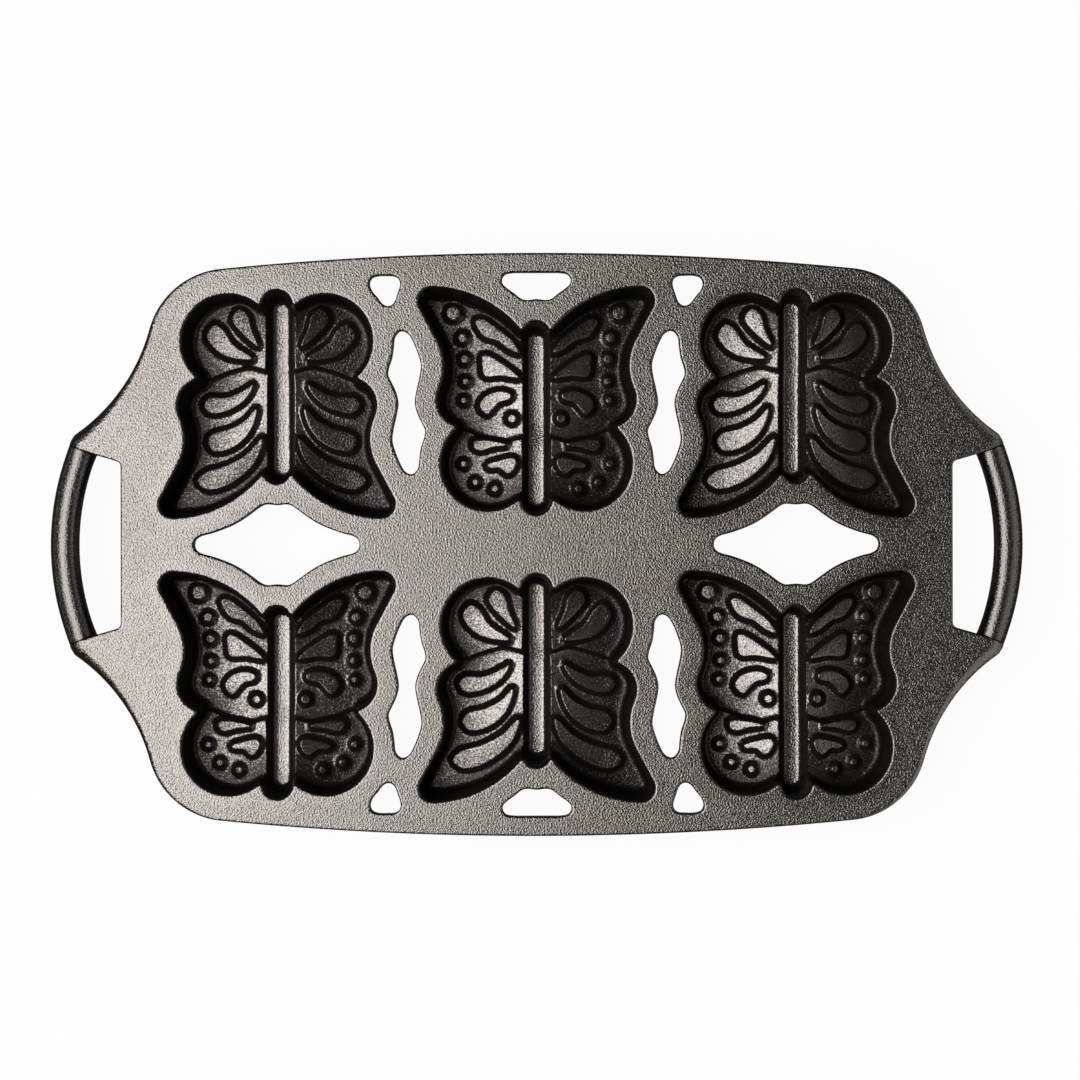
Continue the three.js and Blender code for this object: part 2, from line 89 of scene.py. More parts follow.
def seasoned_iron(name, film_and_shade, rust, roughness, grain_depth, metal_under_shade):
    """The iron of one piece. The last argument is how much of the metal's sheen shows through the painted
    shade.
    """
    material = bpy.data.materials.new(name)
    material.use_nodes = True
    tree = material.node_tree
    tree.nodes.clear()
    place = add_node(tree, "ShaderNodeTexCoord").outputs["Object"]
    pebbles = add_node(
        tree, "ShaderNodeTexNoise", {"noise_dimensions": "3D"},
        Vector=place, Scale=1 / (SAND_GRAIN * MM), Detail=1.5, Roughness=0.5,
    )
    grit = add_node(
        tree, "ShaderNodeTexNoise", {"noise_dimensions": "3D"},
        Vector=place, Scale=1 / (FINE_GRAIN * MM), Detail=1.0, Roughness=0.5,
    )
    clouds = add_node(
        tree, "ShaderNodeTexNoise", {"noise_dimensions": "3D"},
        Vector=place, Scale=1 / (RUST_PATCH * MM), Detail=3.0, Roughness=0.55,
    )
    skin = add_node(
        tree, "ShaderNodeMath", {"operation": "MULTIPLY_ADD"},
        _0=grit.outputs["Fac"], _1=GRIT_SHARE, _2=pebbles.outputs["Fac"],
    )
    patch = add_node(
        tree, "ShaderNodeMapRange", None,
        Value=clouds.outputs["Fac"], From_Min=RUST_RANGE[0], From_Max=RUST_RANGE[1],
        To_Min=0.0, To_Max=1.0,
    )
    colour = add_node(
        tree, "ShaderNodeMix", {"data_type": "RGBA"},
        _0=patch.outputs["Result"], _6=linear(film_and_shade), _7=linear(rust),
    )
    grains = add_node(
        tree, "ShaderNodeMapRange", None,
        Value=skin.outputs["Value"], From_Min=SKIN_RANGE[0], From_Max=SKIN_RANGE[1],
        To_Min=1 - SPECKLE, To_Max=1 + SPECKLE,
    )
    colour = add_node(
        tree, "ShaderNodeMix", {"data_type": "RGBA", "blend_type": "MULTIPLY"},
        _0=1.0, _6=colour.outputs[2], _7=grains.outputs["Result"],
    )
    # Painted shade: where a piece marks it, a dark, less metallic film covers the iron in place of shade.
    shade_mark = add_node(tree, "ShaderNodeAttribute", {"attribute_name": "painted_shade"})
    height = add_node(
        tree, "ShaderNodeMapRange", {"clamp": False},
        Value=skin.outputs["Value"], From_Min=SKIN_RANGE[0], From_Max=SKIN_RANGE[1],
        To_Min=0.0, To_Max=-1.0,
    )
    level = add_node(
        tree, "ShaderNodeMath", {"operation": "MULTIPLY_ADD"},
        _0=shade_mark.outputs["Fac"], _1=SHADE_GAIN, _2=height.outputs["Result"],
    )
    shade_share = add_node(
        tree, "ShaderNodeMapRange", None,
        Value=level.outputs["Value"], From_Min=0.0, From_Max=SHADE_SOFTNESS, To_Min=0.0, To_Max=1.0,
    )
    colour = add_node(
        tree, "ShaderNodeMix", {"data_type": "RGBA"},
        _0=shade_share.outputs["Result"], _6=colour.outputs[2], _7=linear(PAINTED_SHADE_COLOUR),
    )
    metal_share = add_node(
        tree, "ShaderNodeMapRange", None,
        Value=shade_share.outputs["Result"], From_Min=0.0, From_Max=1.0, To_Min=1.0, To_Max=metal_under_shade,
    )
    sheen = add_node(
        tree, "ShaderNodeMapRange", None,
        Value=pebbles.outputs["Fac"], From_Min=SHEEN_RANGE[0], From_Max=SHEEN_RANGE[1],
        To_Min=roughness - SHEEN_SPREAD, To_Max=roughness + SHEEN_SPREAD,
    )
    bump = add_node(
        tree, "ShaderNodeBump", None,
        Height=skin.outputs["Value"], Strength=1.0, Distance=grain_depth * MM,
    )
    surface = add_node(
        tree, "ShaderNodeBsdfPrincipled", None,
        Base_Color=colour.outputs[2], Metallic=metal_share.outputs["Result"], Roughness=sheen.outputs["Result"],
        Specular_Tint=linear(EDGE_TINT), Normal=bump.outputs["Normal"],
    )
    add_node(tree, "ShaderNodeOutputMaterial", None, Surface=surface.outputs["BSDF"])
    return material


# Deck plate: the flat plate that carries everything, cast in one with the cups. Its long edges bow out,
# its corners are round and run out in hollow curves to four ears, whose edges swell to a round bead.
# Twelve vents between the cups let the oven's air through.
deck_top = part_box("deck_plate")[1][2] / MM
DECK_THICKNESS = 4.5
DECK_HALF_WIDTH = 120.0
EDGE_CROWN_RADIUS = 1320.0
EDGE_ROUNDING = 0.9
CORNER = (126.8, 34.0)  # x and radius
FLARE_RADIUS = 75.0
LOOP_INNER_X = 171.2
LOOP_HALF_WIDTH = 34.0
LOOP_CORNER_RADIUS = 2.0
GRIP_RADIUS = 6.0
GRIP_ARC_X = 89.6
GRIP_ARC_RADIUS = 105.7
GRIP_HALF_ANGLE = 0.382
EAR_REACH = 2.0  # the ears' round tips lie this far past the roots of the bar
EAR_ANGLE = GRIP_HALF_ANGLE + EAR_REACH / GRIP_ARC_RADIUS
CUP_FLANGE = 4.5  # iron round a rim that belongs to the cup
NOTCH_RADIUS = 1.0
CUP_PITCH = 106.8  # from one cup to the next along the pan
OUTER_CUP_Y = 57.75
MIDDLE_CUP_Y = 59.3
CUPS = {
    "cup_upper_left": (-CUP_PITCH, OUTER_CUP_Y, "plain"),
    "cup_upper_middle": (0.0, MIDDLE_CUP_Y, "dotted"),
    "cup_upper_right": (CUP_PITCH, OUTER_CUP_Y, "plain"),
    "cup_lower_left": (-CUP_PITCH, -OUTER_CUP_Y, "dotted"),
    "cup_lower_middle": (0.0, -MIDDLE_CUP_Y, "plain"),
    "cup_lower_right": (CUP_PITCH, -OUTER_CUP_Y, "dotted"),
}

# The rim of a cup as circles on its right half, round wings up: centre, and radius where it is set
HEAD = (0.0, 40.8, 6.6)
WING = (20.0, 26.0, 19.6)
SHOULDER = (29.6, -0.4, 11.6)
WAIST = (60.9, -14.2)
TIP = (42.9, -41.0, 5.9)
LOWER_EDGE = (44.0, 2.0)
TAIL = (0.0, -27.1, 5.8)


def apart(a, b):
    return math.hypot(b[0] - a[0], b[1] - a[1])


def heading(a, b):
    return math.atan2(b[1] - a[1], b[0] - a[0])


def arc(hub, radius, start, end, turn, steps):
    """Points on an arc without its last one. turn is 1 for anticlockwise, -1 for clockwise."""
    sweep = (end - start) * turn % (2 * math.pi)
    angles = start + turn * sweep * np.arange(steps) / steps
    return np.c_[hub[0] + radius * np.cos(angles), hub[1] + radius * np.sin(angles)]


def on_circle(hub, radius, angle):
    return arc(hub, radius, angle, angle, 1, 1)[0]


def meet(a, b, growth):
    """Where two grown circles cross, on the left of the way from a to b."""
    span, reach_a, reach_b = apart(a, b), a[2] + growth, b[2] + growth
    along = (reach_a**2 - reach_b**2 + span**2) / (2 * span)
    angle = heading(a, b) + math.acos(along / reach_a)
    return (a[0] + reach_a * math.cos(angle), a[1] + reach_a * math.sin(angle))


def rim(offset):
    """The rim moved outwards by an offset, always with the same count of points, clockwise from the top."""
    waist = WAIST + (apart(WAIST, SHOULDER) - SHOULDER[2],)
    lower = LOWER_EDGE + (apart(LOWER_EDGE, TIP) + TIP[2],)

    def notch_between(a, b, steps):
        hub = meet(a, b, max(offset, NOTCH_RADIUS))
        bend = arc(hub, max(NOTCH_RADIUS - offset, 0.0), heading(hub, a), heading(hub, b), 1, steps)
        return heading(a, hub), heading(b, hub), bend

    neck_out, neck_in, neck = notch_between(HEAD, WING, 8)
    notch_out, notch_in, notch = notch_between(WING, SHOULDER, 10)
    rump_out, rump_in, rump = notch_between(lower, TAIL, 8)
    flank = heading(TIP, waist) - math.acos((waist[2] + TIP[2]) / apart(waist, TIP))
    up = math.pi / 2
    flank_top = on_circle(waist, waist[2] - offset, flank + math.pi)
    flank_low = on_circle(TIP, TIP[2] + offset, flank)
    half = np.vstack([
        arc(HEAD, HEAD[2] + offset, up, neck_out, -1, 10),
        neck,
        arc(WING, WING[2] + offset, neck_in, notch_out, -1, 52),
        notch,
        arc(SHOULDER, SHOULDER[2] + offset, notch_in, heading(SHOULDER, waist), -1, 26),
        arc(waist, waist[2] - offset, heading(waist, SHOULDER), flank + math.pi, 1, 20),
        np.linspace(flank_top, flank_low, 14, endpoint=False),
        arc(TIP, TIP[2] + offset, flank, heading(lower, TIP), -1, 20),
        arc(lower, lower[2] + offset, heading(lower, TIP), rump_out, -1, 52),
        rump,
        arc(TAIL, TAIL[2] + offset, rump_in, -up, -1, 10),
        [[0.0, TAIL[1] - TAIL[2] - offset]],
    ])
    return np.vstack([half, half[-2:0:-1] * [-1, 1]])


def placed(points, cup):
    """Points of a cup moved to its place in the pan. Dotted cups lie with their round wings down."""
    x, y, kind = CUPS[cup]
    return points * [1, 1 if kind == "plain" else -1] + [x, y]


CURVE_STEPS = 24  # places worked out on each stretch of a smooth curve


def smooth_loop(points, spacing):
    """A closed curve through the points, with evenly spaced points on it."""
    p = np.asarray(points, float)
    before, after = np.roll(p, 1, axis=0), np.roll(p, -1, axis=0)
    chord = np.sqrt(np.linalg.norm(after - p, axis=1))[:, None]
    back = np.roll(chord, 1, axis=0)
    slope = ((p - before) / back * chord + (after - p) / chord * back) / (back + chord)
    t = np.linspace(0, 1, CURVE_STEPS, endpoint=False)[None, :, None]
    h = (1 + 2 * t) * (1 - t) ** 2, t * (1 - t) ** 2, t * t * (3 - 2 * t), t * t * (t - 1)
    reach = chord[:, None]
    parts = p[:, None], slope[:, None] * reach, after[:, None], np.roll(slope, -1, axis=0)[:, None] * reach
    dense = sum(a * b for a, b in zip(h, parts)).reshape(-1, 2)
    closed = np.vstack([dense, dense[:1]])
    run = np.r_[0, np.cumsum(np.linalg.norm(np.diff(closed, axis=0), axis=1))]
    count = max(8, round(run[-1] / spacing))
    at = np.linspace(0, run[-1], count, endpoint=False)
    return np.c_[np.interp(at, run, closed[:, 0]), np.interp(at, run, closed[:, 1])]


def signed_area(loop):
    x, y = loop.T
    return 0.5 * float(np.sum(x * np.roll(y, -1) - np.roll(x, -1) * y))


def left_normals(loop):
    along = np.roll(loop, -1, axis=0) - np.roll(loop, 1, axis=0)
    along /= np.linalg.norm(along, axis=1)[:, None]
    return np.c_[-along[:, 1], along[:, 0]]


def not_doubled(loop):
    """Which points of a loop lie apart from the one before."""
    return np.linalg.norm(loop - np.roll(loop, 1, axis=0), axis=1) > 1e-6


def inside(points, loops):
    """Which points lie in the iron: within an odd number of the loops."""
    x, y = points[:, :1], points[:, 1:]
    crossings = 0
    for a in loops:
        b = np.roll(a, -1, axis=0)
        rise = np.where(a[:, 1] == b[:, 1], 1e-12, b[:, 1] - a[:, 1])
        spans = (a[:, 1] > y) != (b[:, 1] > y)
        crossings = crossings + (spans & (x < (b - a)[:, 0] * (y - a[:, 1]) / rise + a[:, 0])).sum(1)
    return crossings % 2 == 1


def fill(points, loops):
    """Triangles over points inside closed loops of point numbers; a loop within a loop is a hole."""
    points = np.asarray(points)
    edges = [(a, b) for loop in loops for a, b in zip(loop, list(loop[1:]) + [loop[0]])]
    out = delaunay_2d_cdt([tuple(p) for p in points], edges, [], 1, 1e-6)
    faces = np.array([[out[3][v][0] for v in face] for face in out[2]])
    return faces[inside(points[faces].mean(axis=1), [points[loop] for loop in loops])].tolist()


def ring_faces(first, count, rings):
    """Four-sided faces that join rings of points, all of the same count and numbered on from first."""
    faces = []
    for start in range(first, first + (rings - 1) * count, count):
        for i in range(count):
            a, b = start + i, start + (i + 1) % count
            faces.append((a, b, b + count, a + count))
    return faces


WELD = 0.0005  # points nearer than this are one
CRISP_ANGLE = 42  # in degrees, edges that turn more than this stay sharp


def make_piece(name, points, faces, material):
    """A closed mesh from points in millimetres, with its faces turned outwards and its edges kept crisp."""
    mesh = bpy.data.meshes.new(name)
    mesh.from_pydata((np.asarray(points) * MM).tolist(), [], [list(map(int, f)) for f in faces])
    work = bmesh.new()
    work.from_mesh(mesh)
    bmesh.ops.remove_doubles(work, verts=work.verts, dist=WELD * MM)
    bmesh.ops.recalc_face_normals(work, faces=work.faces)
    work.to_mesh(mesh)
    work.free()
    mesh.shade_smooth()
    mesh.set_sharp_from_angle(angle=math.radians(CRISP_ANGLE))
    mesh.materials.append(material)
    piece = bpy.data.objects.new(name, mesh)
    bpy.context.scene.collection.objects.link(piece)
    return piece


UNSHADED_TOP_DEPTH = 0.02  # the level top gets no painted shade down to this depth
UNDERSIDE_SHADE = (-0.3, 0.8)  # faces that look down more than this get this much painted shade, as shade under the pan


def paint_shade(piece, thin, full, by_place=None):
    """Marks painted shade on steep faces, darkening walls and sides as if they lay in shade.

    thin and full are the upright shares of the normal where it begins and where it is whole, and
    by_place changes it from place to place.
    """
    mesh = piece.data
    place, normal = np.empty(len(mesh.vertices) * 3), np.empty(len(mesh.vertices) * 3)
    mesh.vertices.foreach_get("co", place)
    mesh.vertex_normals.foreach_get("vector", normal)
    upright = np.abs(normal[2::3])
    film_and_shade = np.clip((thin - upright) / (thin - full), 0, 1)
    if by_place is not None:
        film_and_shade = by_place(place.reshape(-1, 3) / MM, upright, film_and_shade)
    film_and_shade[place[2::3] > (deck_top - UNSHADED_TOP_DEPTH) * MM] = 0.0
    film_and_shade[normal[2::3] < UNDERSIDE_SHADE[0]] = UNDERSIDE_SHADE[1]
    # The painted shade goes to the material as a point attribute.
    shade_layer = mesh.attributes.new("painted_shade", "FLOAT", "POINT")
    shade_layer.data.foreach_set("value", film_and_shade.astype(np.float32))


crown_hub = (0.0, DECK_HALF_WIDTH - EDGE_CROWN_RADIUS)
corner_y = crown_hub[1] + math.sqrt((EDGE_CROWN_RADIUS - CORNER[1]) ** 2 - CORNER[0] ** 2)
corner = (CORNER[0], corner_y, CORNER[1])
grip_hub = (GRIP_ARC_X, 0.0)
ear_tip = tuple(on_circle(grip_hub, GRIP_ARC_RADIUS, EAR_ANGLE)) + (GRIP_RADIUS,)
flare_hub = meet(corner, ear_tip, FLARE_RADIUS)
flare_start, flare_end = heading(flare_hub, corner), heading(flare_hub, ear_tip)

# The bead along an ear's edge, from the corner to the root of the grip: middle line and radius
BEAD_STEPS = 48
bead_share = np.linspace(0, 1, BEAD_STEPS + 1)
half_round = DECK_THICKNESS / 2
bead_radius = half_round + (GRIP_RADIUS - half_round) * bead_share**2
bead_angle = flare_start + ((flare_end - flare_start) % (2 * math.pi)) * bead_share
bead_line = np.c_[
    flare_hub[0] + (FLARE_RADIUS + bead_radius) * np.cos(bead_angle),
    flare_hub[1] + (FLARE_RADIUS + bead_radius) * np.sin(bead_angle),
]
root = on_circle(grip_hub, GRIP_ARC_RADIUS, GRIP_HALF_ANGLE)
root_inner = on_circle(grip_hub, GRIP_ARC_RADIUS - GRIP_RADIUS, GRIP_HALF_ANGLE)

# A quarter of the plate's edge, from the middle of the long edge to the loop, with its rounding
CROWN_STEPS = 36
CORNER_STEPS = 30
LOOP_CORNER_POINTS = 7
SLANT_STEPS = 8
LOOP_SIDE_STEPS = 16
crown_end = heading(crown_hub, corner)
crown = arc(crown_hub, EDGE_CROWN_RADIUS, math.pi / 2, crown_end, -1, CROWN_STEPS)
corner_arc = arc(corner, corner[2], crown_end, flare_start + math.pi, -1, CORNER_STEPS)
loop_corner = np.array([LOOP_INNER_X, LOOP_HALF_WIDTH])
toward_root = (root_inner - loop_corner) / np.linalg.norm(root_inner - loop_corner)
loop_bend = [
    loop_corner + toward_root * LOOP_CORNER_RADIUS * (1 - t) ** 2 - np.array([0, LOOP_CORNER_RADIUS]) * t * t
    for t in np.linspace(0, 1, LOOP_CORNER_POINTS)
]
slant = np.linspace(root_inner, loop_bend[0], SLANT_STEPS, endpoint=False)
loop_side = np.linspace(loop_bend[-1], [LOOP_INNER_X, 0.0], LOOP_SIDE_STEPS, endpoint=False)[1:]
quarter = np.vstack([crown, corner_arc, bead_line, [root], slant, loop_bend, loop_side])
quarter_rounding = np.concatenate([
    np.full(len(crown), EDGE_ROUNDING),
    np.linspace(EDGE_ROUNDING, half_round, len(corner_arc)),
    np.zeros(len(bead_line) + 1),
    np.full(len(slant) + len(loop_bend) + len(loop_side), EDGE_ROUNDING),
])
right = np.vstack([quarter, [[LOOP_INNER_X, 0.0]], (quarter * [1, -1])[::-1]])
right_rounding = np.concatenate([quarter_rounding, [EDGE_ROUNDING], quarter_rounding[::-1]])
deck_edge = np.vstack([right, (right[1:-1] * [-1, 1])[::-1]])[::-1]
deck_rounding = np.concatenate([right_rounding, right_rounding[1:-1][::-1]])[::-1]

# Outlines of the vents. Each follows the rims beside it at the same distance, with rounded ends.
LONG_VENT_CENTRE = np.array([53.5, 58.45])
LONG_VENT_HALF = [
    (3.4, 0.0), (4.3, 4.2), (6.3, 8.6), (7.6, 11.4), (7.3, 14.2), (5.9, 18.6), (5.2, 23.4),
    (4.7, 27.1), (2.3, 29.5), (-0.6, 28.4), (-2.7, 25.0), (-4.5, 20.6), (-5.9, 15.6), (-5.3, 10.4),
    (-4.1, 5.0),
]
DIAMOND_CENTRE = np.array([106.9, 0.0])
DIAMOND_QUARTER = [
    (34.0, 0.0), (33.4, 2.1), (31.4, 3.5), (27.3, 4.6), (23.2, 6.0), (19.2, 7.6), (15.4, 9.6),
    (11.8, 12.0), (8.3, 14.6), (6.4, 15.9), (4.4, 16.6), (0.0, 16.3),
]
TRAPEZOID_HALF = [
    (0.0, 111.9), (5.0, 111.9), (10.2, 111.8), (12.8, 111.2), (14.1, 109.4), (13.9, 107.3), (12.3, 105.7),
    (8.8, 103.1), (6.8, 101.5), (5.4, 100.8), (3.4, 100.6), (0.0, 101.0),
]
TRIANGLE = [
    (61.0, 110.7), (65.4, 110.6), (67.7, 109.7), (68.6, 107.6), (68.2, 105.7), (67.2, 103.9), (65.3, 101.7),
    (63.7, 99.5), (62.2, 98.4), (60.5, 98.2), (58.9, 99.2), (57.9, 101.0), (57.1, 103.5), (56.3, 105.8),
    (56.1, 107.7), (56.9, 109.6), (58.5, 110.5),
]
LARGE_VENT_SPACING = 1.2
SMALL_VENT_SPACING = 1.0
flips = np.array([[1, 1], [-1, 1], [1, -1], [-1, -1]])
half_vent = np.array(LONG_VENT_HALF)
long_vent = smooth_loop(np.vstack([half_vent, -half_vent]), LARGE_VENT_SPACING) + LONG_VENT_CENTRE
diamond_quarter = np.array(DIAMOND_QUARTER)
diamond_half = np.vstack([diamond_quarter, (diamond_quarter[:-1] * [-1, 1])[::-1]])
diamond_corners = np.vstack([diamond_half, (diamond_half[1:-1] * [1, -1])[::-1]])
diamond = smooth_loop(diamond_corners, LARGE_VENT_SPACING) + DIAMOND_CENTRE
trapezoid_half = np.array(TRAPEZOID_HALF)
trapezoid_corners = np.vstack([trapezoid_half, (trapezoid_half[1:-1] * [-1, 1])[::-1]])
trapezoid = smooth_loop(trapezoid_corners, SMALL_VENT_SPACING)
triangle = smooth_loop(TRIANGLE, SMALL_VENT_SPACING)
vents = [shape * flip for shape in (long_vent, triangle) for flip in flips]
vents += [diamond * flips[0], diamond * flips[1], trapezoid * flips[0], trapezoid * flips[2]]

# Every edge of the plate is a set of rings: the flat face, a rounding, the wall and the rounding below
deck_points, deck_faces = [], []
SUPPORT = 0.35  # a narrow flat strip beside each rounding keeps the big faces flat to the eye
BENDS = np.radians([0, 22.5, 45, 67.5, 90])


def edge_rings(loop, rounding, hole):
    """Adds the rings of one edge of the plate. Returns the point numbers of its top and bottom loops."""
    if signed_area(loop) < 0:
        loop, rounding = loop[::-1], rounding[::-1]
    inward = left_normals(loop) * (-1 if hole else 1)
    wide = np.asarray(rounding)[:, None]
    upper = [(1 - np.sin(bend), 1 - np.cos(bend)) for bend in BENDS]
    levels = [(loop + inward * (wide + SUPPORT), np.full(len(loop), deck_top))]
    levels += [(loop + inward * wide * run, deck_top - wide[:, 0] * drop) for run, drop in upper]
    low = deck_top - DECK_THICKNESS
    levels += [(loop + inward * wide * run, low + wide[:, 0] * drop) for run, drop in upper[::-1]]
    levels += [(loop + inward * (wide + SUPPORT), np.full(len(loop), low))]
    first, count = len(deck_points), len(loop)
    for flat, height in levels:
        deck_points.extend(np.c_[flat, height])
    deck_faces.extend(ring_faces(first, count, len(levels)))
    last = first + (len(levels) - 1) * count
    return list(range(first, first + count)), list(range(last, last + count))


deck_edges = [(deck_edge, deck_rounding, False)]
deck_edges += [(vent, np.full(len(vent), EDGE_ROUNDING), True) for vent in vents]
top_loops, bottom_loops = [], []
for loop, rounding, hole in deck_edges:
    top_loop, bottom_loop = edge_rings(loop, rounding, hole)
    top_loops.append(top_loop)
    bottom_loops.append(bottom_loop)

# The seats of the cups are plain holes with the outline of the cups' flanges
flange = rim(CUP_FLANGE)
flange = flange[not_doubled(flange)]
for cup in CUPS:
    seat = placed(flange, cup)
    first, count = len(deck_points), len(seat)
    for height in (deck_top, deck_top - DECK_THICKNESS):
        deck_points.extend(np.c_[seat, np.full(count, height)])
    deck_faces += ring_faces(first, count, 2)
    top_loops.append(list(range(first, first + count)))
    bottom_loops.append(list(range(first + count, first + 2 * count)))

for loops in (top_loops, bottom_loops):
    numbers = [v for loop in loops for v in loop]
    local = {v: i for i, v in enumerate(numbers)}
    flat = [deck_points[v][:2] for v in numbers]
    local_loops = [[local[v] for v in loop] for loop in loops]
    deck_faces += [[numbers[v] for v in face] for face in fill(flat, local_loops)]


def tube(path, radii, tops, sides, end_ways=None, squareness=2.0, leans=None):
    """A closed bar along points in plan; tops gives the height of its top at each point.

    A squareness of 2 is round, more is flatter on top and less is sharper. A lean makes the bar slope
    down to its right.
    """
    along = np.gradient(path, axis=0)
    if end_ways is not None:
        along[0], along[-1] = end_ways
    along /= np.linalg.norm(along, axis=1)[:, None]
    side = np.c_[along[:, 1], -along[:, 0]]
    turn = np.linspace(0, 2 * math.pi, sides, endpoint=False)
    run = np.sign(np.cos(turn)) * np.abs(np.cos(turn)) ** (2 / squareness)
    rise = np.sign(np.sin(turn)) * np.abs(np.sin(turn)) ** (2 / squareness)
    leans = 0 * tops if leans is None else leans
    points = []
    for centre, radius, top, across, lean in zip(path, radii, tops, side, leans):
        for u, w in zip(run * radius, rise * radius):
            flat = centre + across * u
            points.append((flat[0], flat[1], top - radius + w - lean * u))
    faces = ring_faces(0, sides, len(path))
    faces.append(tuple(range(sides)))
    faces.append(tuple(range((len(path) - 1) * sides, len(path) * sides)))
    return points, faces


BAR_SIDES = 48
EAR_SQUARENESS = 1.75  # a little less than round, so the edge falls away early
EAR_TURN_STEPS = 6  # from the end of the bead to the root of the grip
LEAD_IN_STEPS = 4  # the bead begins this many points back in the corner
LEAD_IN_SUNK = 0.02  # and there it keeps this far inside the plate
root_way = np.array([math.sin(GRIP_HALF_ANGLE), -math.cos(GRIP_HALF_ANGLE)])
ear_turn = np.linspace(0, 1, EAR_TURN_STEPS + 1)[1:, None]
lead_in_arc = arc(corner, corner[2] - half_round, crown_end, flare_start + math.pi, -1, CORNER_STEPS)
lead_in = lead_in_arc[-LEAD_IN_STEPS:]
ear_path = np.vstack([lead_in, bead_line, bead_line[-1] * (1 - ear_turn) + root * ear_turn])
lead_in_radius = np.full(LEAD_IN_STEPS, half_round - LEAD_IN_SUNK)
ear_radius = np.r_[lead_in_radius, bead_radius, np.full(EAR_TURN_STEPS, GRIP_RADIUS)]
ear_top = np.full(len(ear_path), deck_top)
ear_ends = (lead_in[1] - lead_in[0], root_way)
bead_points, bead_faces = tube(ear_path, ear_radius, ear_top, BAR_SIDES, ear_ends, EAR_SQUARENESS)
for flip in flips:
    first = len(deck_points)
    deck_points.extend(np.array(bead_points) * [flip[0], flip[1], 1])
    deck_faces += [[first + v for v in face] for face in bead_faces]

RIGHT_EAR_LIGHTENING = (0.55, 140.0, 36.0, 8.0)  # share of painted shade taken off past this x and y, growing over this run, painting a lighter sheen on the right ears


def lighten_right_ears(place, upright, film_and_shade):
    """The painted shade on the deck's edges, made thinner on the rounded outer edges of the right ears only,
    a painted sheen there.
    """
    share, far_x, far_y, run = RIGHT_EAR_LIGHTENING
    past = np.minimum(place[:, 0] - far_x, np.abs(place[:, 1]) - far_y)
    return film_and_shade * (1 - share * np.clip(past / run, 0, 1))


deck_iron = seasoned_iron(
    "seasoned_cast_iron_deck", film_and_shade="#827F7B", rust="#7C7773",
    roughness=0.2, grain_depth=0.26, metal_under_shade=0.9,
)
deck = make_piece("deck", deck_points, deck_faces, deck_iron)
# Painted shade on the deck's steep edges, vent walls, beads and underside, lighter on the right ears.
paint_shade(deck, thin=0.97, full=0.75, by_place=lighten_right_ears)
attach(deck, "root")
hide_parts("deck_plate")


# Cups: six butterfly hollows of two kinds, cast in one with the deck. Each has a rounded lip, steep walls,
# wings that droop away from a body trough with a nearly flat bottom, and raised cells on the wings. Below,
# the iron is hollowed under the wings, and a flat keel under the body stands on the table.
LIP = 1.4  # run and drop of the rounded lip, half of it outside the rim line
WALL_SLOPE = 8.9  # fall of the wall for each millimetre of run
FLOOR_FILLET = 2.6
BESIDE_BODY_DEPTH = 14.4
WING_DROOP = 0.3  # fall of the floor beside the body, which dies away over the next length
WING_DISH = 36.0
WALL_SWEEP = (0.8, 6.0)  # how high the floor curves up to the wall, and over what width
ROUND_WING_STEP = 2.8
STEP_RUN = 2.0
STEP_CURVE = 1.4  # how the step sweeps up to the round wings
TROUGH_HALF_WIDTH = 5.2  # at its ends, where the wall runs straight into it
TROUGH_DEPTH = 21.0
TROUGH_HEAD_RISE = (2.1, 6.0, 22.0)  # its bottom is this much higher between the round wings, from y to y
TROUGH_SIDE = (3.4, 0.4, 2.5)  # where the sides begin, how soft the bend is there, and their slope
TROUGH_DISH = 32.0  # radius of the shallow curve across its bottom
TROUGH_BRINK = 0.5  # rounding of its upper edges
TROUGH_ENDS = (-25.6, 40.0)
CELL_RISE = (2.4, 20.0, 0.05, 2.0)  # rise, the x where it is so, its fall outwards and its least
FLOOR_THICKNESS = 4.5
KEEL_HALF_WIDTH = TROUGH_HALF_WIDTH + FLOOR_THICKNESS
KEEL_DRAFT = 1.2  # run of the keel's sloping sides
DIVISION = [(0.0, 15.0), (5.9, 15.3), (13.1, 17.0), (20.3, 15.6), (27.6, 13.0)]

# The side of a raised cell: distance out from the edge of its flat top, and share of the rise left there
CELL_SIDE = [
    (-0.3, 1.0), (0.0, 0.97), (0.3, 0.87), (0.9, 0.62), (1.6, 0.33), (2.2, 0.1), (2.5, 0.02), (2.8, 0.0),
]

# Flat tops of the cells on the right wings, round wings up, and dots as (x, y, radius)
PLAIN_CELLS = [
    [(9.3, 25.0), (11.9, 31.8), (13.6, 37.7), (16.9, 40.3), (20.0, 36.4), (15.7, 30.2)],
    [(11.7, 19.7), (20.2, 26.0), (24.4, 32.2), (27.7, 34.0), (30.8, 29.7), (28.5, 25.2), (22.7, 21.0)],
    [(11.7, 8.9), (14.8, 7.2), (22.3, 3.9), (30.5, 3.6), (32.5, 0.9), (30.2, -2.3), (24.0, -1.9),
     (16.5, 1.8), (12.7, 6.2)],
    [(10.2, -1.1), (14.8, -5.7), (21.5, -9.4), (29.0, -11.5), (31.2, -14.6), (28.5, -18.4), (22.3, -17.7),
     (15.7, -13.6), (11.5, -7.3)],
    [(7.7, -13.6), (14.8, -20.2), (23.2, -24.8), (32.3, -27.7), (35.2, -31.1), (31.5, -34.4), (24.0, -33.2),
     (15.7, -28.2), (9.8, -21.5)],
]
